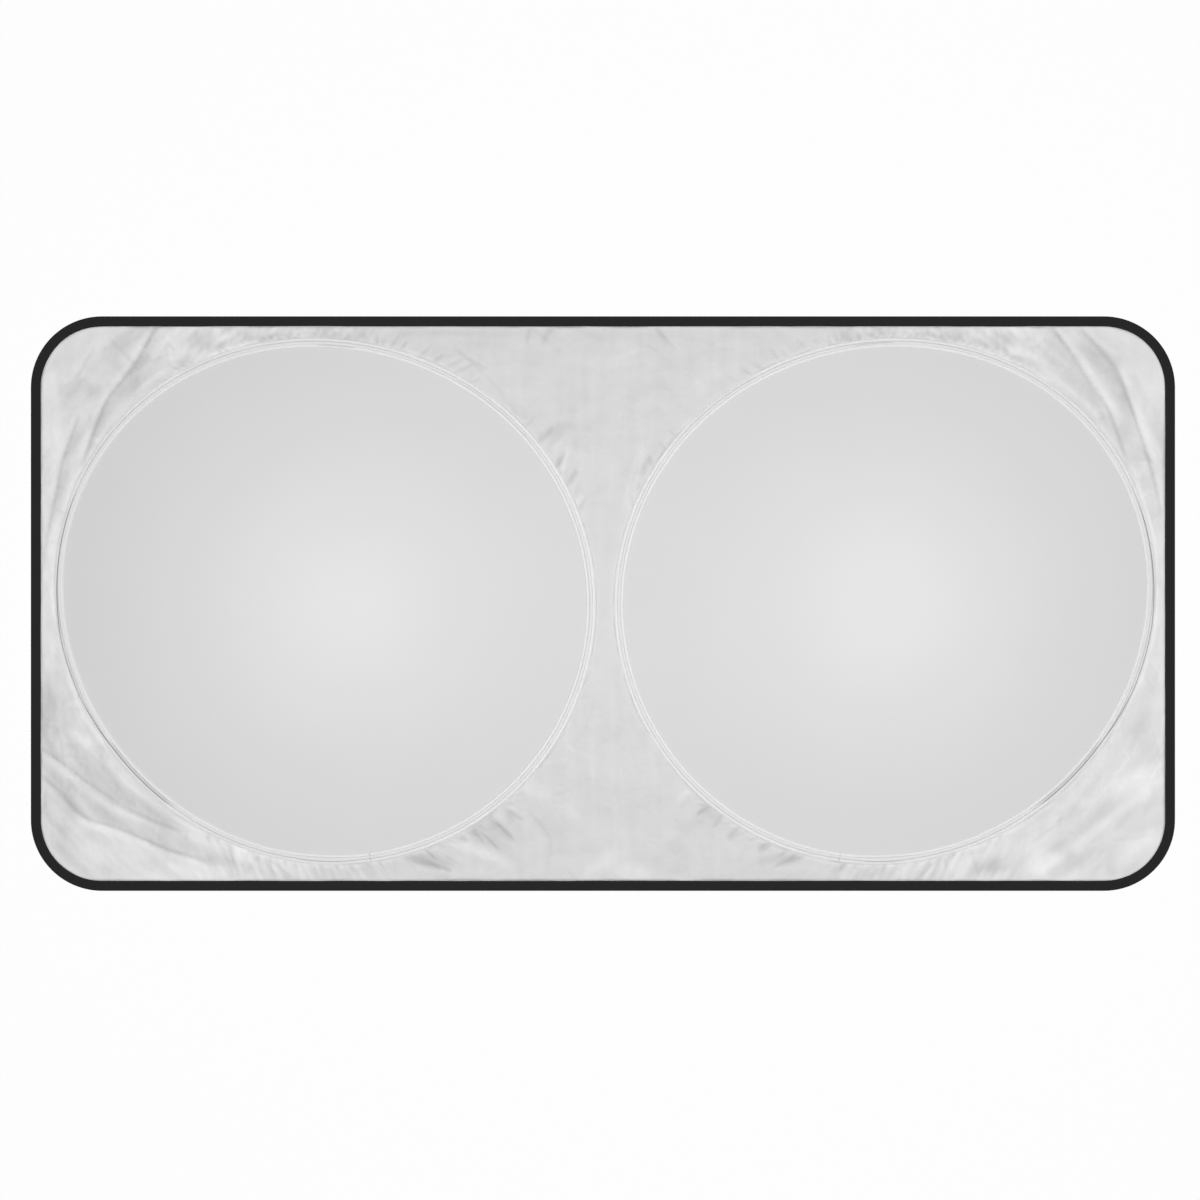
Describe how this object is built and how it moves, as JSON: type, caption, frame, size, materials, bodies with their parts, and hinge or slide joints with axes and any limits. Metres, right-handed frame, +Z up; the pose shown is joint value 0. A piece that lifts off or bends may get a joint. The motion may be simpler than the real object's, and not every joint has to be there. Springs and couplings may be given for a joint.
{
  "type": "windscreen sunshade",
  "caption": "Fold-away windscreen sunshade: a rectangle of pale coated cloth with rounded corners and a black bound edge, held out by sprung wire hoops under stitched tape.",
  "frame": {"origin": "middle of the underside, on the surface that the shade lies on", "axes": "+X along the shade to the right as seen from its face, +Y across it to the top edge, +Z up out of its face"},
  "size_m": [1.4002, 0.703, 0.0083],
  "materials": {
    "coated_cloth": "thin woven polyester with a silvery white coating, satin sheen",
    "hoop_tape": "pale woven tape, stitched along both edges",
    "black_binding": "black woven binding tape, matt",
    "spring_steel": "drawn spring steel wire",
    "ferrule_metal": "plain crimped sleeve"
  },
  "bodies": {
    "root": {"face_sheet": "coated_cloth", "edge_binding": "black_binding", "left_hoop_wire": "spring_steel", "right_hoop_wire": "spring_steel", "left_wire_ferrule": "ferrule_metal", "right_wire_ferrule": "ferrule_metal", "left_hoop_tape": "hoop_tape", "right_hoop_tape": "hoop_tape"}
  },
  "joints": []
}
